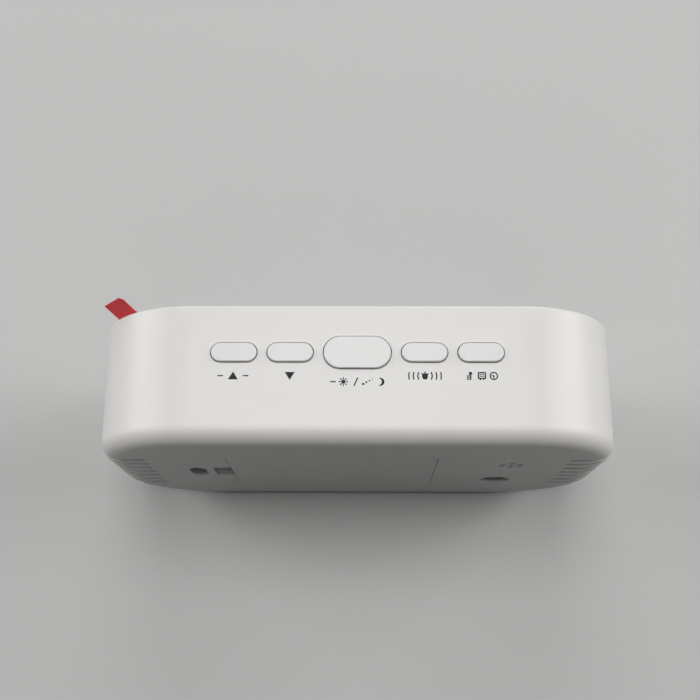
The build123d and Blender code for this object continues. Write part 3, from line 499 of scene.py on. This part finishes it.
def growPiece(name, tree, values, build, body, replaced=()):
    # runs the tree on a seed mesh, keeps the plain mesh and drops the modifier
    seed = newPiece(name + "_seed", build, None, values["Material"])
    modifier = seed.modifiers.new(name, "NODES")
    modifier.node_group = tree
    items = tree.interface.items_tree
    sockets = {item.name: item.identifier for item in items if item.in_out == "INPUT"}
    for label, value in values.items():
        modifier[sockets[label]] = value
    ready = seed.evaluated_get(bpy.context.evaluated_depsgraph_get())
    mesh = bpy.data.meshes.new_from_object(ready)
    seed.modifiers.remove(modifier)
    bpy.data.objects.remove(seed)
    piece = bpy.data.objects.new(name, mesh)
    mesh.name = name
    bpy.context.scene.collection.objects.link(piece)
    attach(piece, body)
    if replaced:
        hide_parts(*replaced)
    return piece


# contact springs: cones of nickel wire that press on the cells' flat ends

spring = dict(wire=0.6, turns=4.0, baseRadius=3.0, tipRadius=2.0, length=4.2, steps=40, sides=12)


def springTree():
    inputs = {"Turns": "Float", "Base radius": "Float", "Tip radius": "Float", "Length": "Float",
              "Wire radius": "Float", "Steps": "Int", "Sides": "Int", "Material": "Material"}
    tree, given = startTree("coneSprings", inputs)
    coil = addNode(tree, "GeometryNodeCurveSpiral", {}, {
        "Resolution": given["Steps"], "Rotations": given["Turns"], "Start Radius": given["Base radius"],
        "End Radius": given["Tip radius"], "Height": given["Length"]})
    wire = addNode(tree, "GeometryNodeCurvePrimitiveCircle", {}, {
        "Resolution": given["Sides"], "Radius": given["Wire radius"]})
    tube = addNode(tree, "GeometryNodeCurveToMesh", {"Fill Caps": True}, {
        "Curve": coil.outputs[0], "Profile Curve": wire.outputs[0]})
    aim = addNode(tree, "GeometryNodeInputNamedAttribute", {"data_type": "FLOAT_VECTOR", "Name": "aim"})
    turned = addNode(tree, "FunctionNodeAlignRotationToVector", {"axis": "Z"},
                     {"Vector": aim.outputs[0]})
    springs = addNode(tree, "GeometryNodeInstanceOnPoints", {}, {
        "Points": given["Geometry"], "Instance": tube.outputs[0], "Rotation": turned.outputs[0]})
    endTree(tree, springs.outputs[0], given["Material"])
    return tree


def makeSprings():
    low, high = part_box("contact_springs")
    inset = spring["wire"] / 2 * mm
    places = []
    for name in cellNames:
        cellLow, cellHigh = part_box("battery_cell_" + name)
        middle = (cellLow + cellHigh) / 2
        atRight = name != "middle"
        x = high.x - inset if atRight else low.x + inset
        places.append((Vector((x, middle.y, middle.z)), Vector((-1 if atRight else 1, 0, 0))))

    def build(bm):
        aim = bm.verts.layers.float_vector.new("aim")
        for place, direction in places:
            bm.verts.new(place)[aim] = direction
    values = {"Turns": spring["turns"], "Base radius": spring["baseRadius"] * mm,
              "Tip radius": spring["tipRadius"] * mm, "Length": spring["length"] * mm,
              "Wire radius": spring["wire"] / 2 * mm, "Steps": spring["steps"],
              "Sides": spring["sides"], "Material": nickelSteel}
    growPiece("cone_springs", springTree(), values, build, "case", ["contact_springs"])


makeSprings()
print("springs")


# gull-wing legs round the chips

legs = dict(width=0.3, foot=0.5, rise=0.75, reach=1.0, thickness=0.15)
chips = {"clock_chip": dict(length=12.0, rows=4, count=14, pitch=0.75),
         "driver_chips": dict(length=8.0, rows=2, count=9, pitch=0.8)}


def legTree():
    inputs = {"Count": "Int", "Pitch": "Float", "Rows": "Int", "Out": "Float", "Material": "Material"}
    tree, given = startTree("legRows", inputs)
    gaps = addNode(tree, "ShaderNodeMath", {"operation": "SUBTRACT", 1: 1.0}, {0: given["Count"]})
    span = addNode(tree, "ShaderNodeMath", {"operation": "MULTIPLY"},
                   {0: gaps.outputs[0], 1: given["Pitch"]})
    start = addNode(tree, "ShaderNodeMath", {"operation": "MULTIPLY", 1: -0.5}, {0: span.outputs[0]})
    startAt = addNode(tree, "ShaderNodeCombineXYZ", {}, {"X": start.outputs[0], "Z": given["Out"]})
    stepBy = addNode(tree, "ShaderNodeCombineXYZ", {}, {"X": given["Pitch"]})
    line = addNode(tree, "GeometryNodeMeshLine", {}, {
        "Count": given["Count"], "Start Location": startAt.outputs[0], "Offset": stepBy.outputs[0]})
    row = addNode(tree, "GeometryNodeInstanceOnPoints", {}, {
        "Points": line.outputs[0], "Instance": given["Geometry"]})
    whole = addNode(tree, "GeometryNodeRealizeInstances", {}, {0: row.outputs[0]})
    hub = addNode(tree, "GeometryNodePoints", {}, {"Count": given["Rows"]})
    index = addNode(tree, "GeometryNodeInputIndex")
    part = addNode(tree, "ShaderNodeMath", {"operation": "DIVIDE", 0: 2 * math.pi}, {1: given["Rows"]})
    angle = addNode(tree, "ShaderNodeMath", {"operation": "MULTIPLY"},
                    {0: index.outputs[0], 1: part.outputs[0]})
    turn = addNode(tree, "ShaderNodeCombineXYZ", {}, {"Y": angle.outputs[0]})
    around = addNode(tree, "GeometryNodeInstanceOnPoints", {}, {
        "Points": hub.outputs[0], "Instance": whole.outputs[0], "Rotation": turn.outputs[0]})
    endTree(tree, around.outputs[0], given["Material"])
    return tree


def buildLeg(bm):
    # from the chip's side out along +Z, down to the board and out again; the board is at y = 0
    half = legs["width"] / 2 * mm
    t = legs["thickness"] * mm
    rise, reach, foot = legs["rise"] * mm, legs["reach"] * mm, legs["foot"] * mm
    side = [(rise, 0), (rise, reach - foot), (t, reach - foot + t), (t, reach), (0, reach),
            (0, reach - foot), (rise - t, reach - foot - t), (rise - t, 0)]
    addLoops(bm, [[(x, y, z) for y, z in side] for x in (-half, half)])


def makeChipLegs():
    tree = legTree()
    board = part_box("display_board")[1].y
    number = 0
    for name, size in chips.items():
        low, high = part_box(name)
        half = size["length"] / 2 * mm
        # where there is one chip, both ends give the same middle
        for x in sorted({round(low.x + half, 6), round(high.x - half, 6)}):
            number += 1
            values = {"Count": size["count"], "Pitch": size["pitch"] * mm, "Rows": size["rows"],
                      "Out": (high.z - low.z) / 2, "Material": zincSteel}
            piece = growPiece("chip_legs_%d" % number, tree, values, buildLeg, "case")
            piece.data.transform(Matrix.Translation((x, board, (low.z + high.z) / 2)))


makeChipLegs()
print("chip legs")


# ribs across the slide switch knob

ribs = dict(count=4, pitch=0.62, width=2.2, height=0.22, sunk=0.01)


def ribTree():
    inputs = {"Count": "Int", "Pitch": "Float", "Place": "Vector", "Material": "Material"}
    tree, given = startTree("gripRibs", inputs)
    step = addNode(tree, "ShaderNodeCombineXYZ", {}, {"Z": given["Pitch"]})
    line = addNode(tree, "GeometryNodeMeshLine", {}, {
        "Count": given["Count"], "Start Location": given["Place"], "Offset": step.outputs[0]})
    row = addNode(tree, "GeometryNodeInstanceOnPoints", {}, {
        "Points": line.outputs[0], "Instance": given["Geometry"]})
    endTree(tree, row.outputs[0], given["Material"])
    return tree


def buildRib(bm):
    half, height = ribs["width"] / 2 * mm, ribs["height"] * mm
    halfTurn = [math.radians(a) for a in range(0, 181, 20)]
    profile = [(height * math.sin(a), height * math.cos(a)) for a in halfTurn]
    addLoops(bm, [[(x, y, z) for y, z in profile] for x in (-half, half)])


def makeKnobRibs():
    low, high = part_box("slide_switch_knob")
    first = (low.z + high.z) / 2 - (ribs["count"] - 1) / 2 * ribs["pitch"] * mm
    values = {"Count": ribs["count"], "Pitch": ribs["pitch"] * mm, "Material": greyNylon,
              "Place": ((low.x + high.x) / 2, high.y - ribs["sunk"] * mm, first)}
    growPiece("knob_ribs", ribTree(), values, buildRib, "slide_knob")


makeKnobRibs()
print("knob ribs")


# table, light and camera; places and sizes in metres, power in watts, but the camera's place in mm

stageLook = dict(side=4.0, floor="#C1C1C0", floorBounce="#595958", floorRough=0.62, grainMm=0.4,
                 grainDepthMm=0.01, backdrop="#CDCDCB", ambient=0.0, fadeFrom=0.35, fadeTo=1.2)
lampTarget = Vector((0, 0, 0.05))
softboxes = {
    "overhead": dict(place=(0.0, -0.18, 1.30), power=4.9, wide=0.5, deep=0.7),
    "leftHigh": dict(place=(1.0, -0.15, 0.95), power=2.8, wide=0.5, deep=0.5),
    "rightHigh": dict(place=(-1.0, -0.15, 0.95), power=3.8, wide=0.5, deep=0.5),
    "leftLow": dict(place=(1.25, -0.15, 0.45), power=2.4, wide=0.5, deep=0.5),
    "rightLow": dict(place=(-1.25, -0.15, 0.45), power=2.4, wide=0.5, deep=0.5),
    "leftFront": dict(place=(1.1, -0.6, 0.45), power=4.2, wide=0.5, deep=0.5),
    "rightFront": dict(place=(-1.1, -0.6, 0.45), power=4.2, wide=0.5, deep=0.5),
    "front": dict(place=(0.0, -1.10, 0.75), power=3.4, wide=0.6, deep=0.6),
    "back": dict(place=(0.0, 0.90, 0.95), power=0.9, wide=1.0, deep=0.6),
}
cameraView = dict(place=(0, 67.39, 313.62), lookDown=72.87, heading=-1.41, roll=-1.28, lens=52.05,
                  sensor=36)


def backgroundSeen(tree):
    # whether the camera, a mirror or a lens looks at it, rather than a surface that it lights
    path = addNode(tree, "ShaderNodeLightPath").outputs
    seen = path["Is Camera Ray"]
    for kind in ("Is Glossy Ray", "Is Transmission Ray"):
        either = addNode(tree, "ShaderNodeMath", {"operation": "MAXIMUM"}, {0: seen, 1: path[kind]})
        seen = either.outputs[0]
    return seen


def makeFloor():
    # plain laminate: pale grey and matt, with a grain too fine to see; it throws less light back than
    # it shows, and far away it melts into the backdrop
    material, tree, place = startMaterial("matt grey laminate")
    material.cycles.emission_sampling = "NONE"
    seen = backgroundSeen(tree)
    colour = addNode(tree, "ShaderNodeMix", {
        "data_type": "RGBA", 6: srgb(stageLook["floorBounce"]), 7: srgb(stageLook["floor"])}, {0: seen})
    grain = addNode(tree, "ShaderNodeTexNoise", {"Scale": 1 / (stageLook["grainMm"] * mm)},
                    {"Vector": place})
    bump = addNode(tree, "ShaderNodeBump", {"Distance": stageLook["grainDepthMm"] * mm},
                   {"Height": grain.outputs["Fac"]})
    laminate = addNode(tree, "ShaderNodeBsdfPrincipled", {
        "IOR": 1.5, "Roughness": stageLook["floorRough"]}, {
        "Base Color": colour.outputs[2], "Normal": bump.outputs["Normal"]})
    away = addNode(tree, "ShaderNodeVectorMath", {"operation": "LENGTH"}, {0: place})
    fade = addNode(tree, "ShaderNodeMapRange", {
        "interpolation_type": "SMOOTHSTEP", "From Min": stageLook["fadeFrom"],
        "From Max": stageLook["fadeTo"]}, {"Value": away.outputs["Value"]})
    mixed = addNode(tree, "ShaderNodeMath", {"operation": "MULTIPLY"},
                    {0: fade.outputs["Result"], 1: seen})
    backdrop = addNode(tree, "ShaderNodeEmission", {"Color": srgb(stageLook["backdrop"])})
    surface = addNode(tree, "ShaderNodeMixShader", {}, {
        0: mixed.outputs[0], 1: laminate.outputs[0], 2: backdrop.outputs[0]})
    addNode(tree, "ShaderNodeOutputMaterial", {}, {"Surface": surface.outputs[0]})

    def build(bm):
        side = stageLook["side"]
        corners = ((-side, -side, 0), (side, -side, 0), (side, side, 0), (-side, side, 0))
        bm.faces.new([bm.verts.new(corner) for corner in corners])
    newPiece("table_top", build, None, material)


def makeWorld():
    world = bpy.data.worlds.new("studio")
    bpy.context.scene.world = world
    world.use_nodes = True
    tree = world.node_tree
    tree.nodes.clear()
    dim = stageLook["ambient"]
    shade = addNode(tree, "ShaderNodeMix", {
        "data_type": "RGBA", 6: (dim, dim, dim, 1), 7: srgb(stageLook["backdrop"])},
        {0: backgroundSeen(tree)})
    background = addNode(tree, "ShaderNodeBackground", {}, {"Color": shade.outputs[2]})
    addNode(tree, "ShaderNodeOutputWorld", {}, {"Surface": background.outputs[0]})


def makeLamps():
    for name, box in softboxes.items():
        data = bpy.data.lights.new(name, "AREA")
        data.energy = box["power"]
        data.shape = "RECTANGLE"
        data.size = box["wide"]
        data.size_y = box["deep"]
        lamp = bpy.data.objects.new(name, data)
        bpy.context.scene.collection.objects.link(lamp)
        lamp.location = box["place"]
        lamp.rotation_mode = "QUATERNION"
        lamp.rotation_quaternion = (lampTarget - lamp.location).to_track_quat("-Z", "Y")


def makeCamera():
    # heading turns the view about the upright, and roll turns the picture
    down, heading, roll = [math.radians(cameraView[key]) for key in ("lookDown", "heading", "roll")]
    forward = Vector((-math.sin(heading) * math.cos(down), -math.cos(heading) * math.cos(down),
                      -math.sin(down)))
    level = Vector((-math.cos(heading), math.sin(heading), 0))
    above = level.cross(forward)
    right = level * math.cos(roll) + above * math.sin(roll)
    up = above * math.cos(roll) - level * math.sin(roll)
    data = bpy.data.cameras.new("camera")
    data.lens = cameraView["lens"]
    data.sensor_width = cameraView["sensor"]
    camera = bpy.data.objects.new("camera", data)
    bpy.context.scene.collection.objects.link(camera)
    turned = Matrix((right, up, -forward)).transposed().to_4x4()
    camera.matrix_world = Matrix.Translation(Vector(cameraView["place"]) * mm) @ turned
    bpy.context.scene.camera = camera


makeFloor()
makeWorld()
makeLamps()
makeCamera()
bpy.context.scene.view_settings.view_transform = "Standard"
print("stage, light and camera")
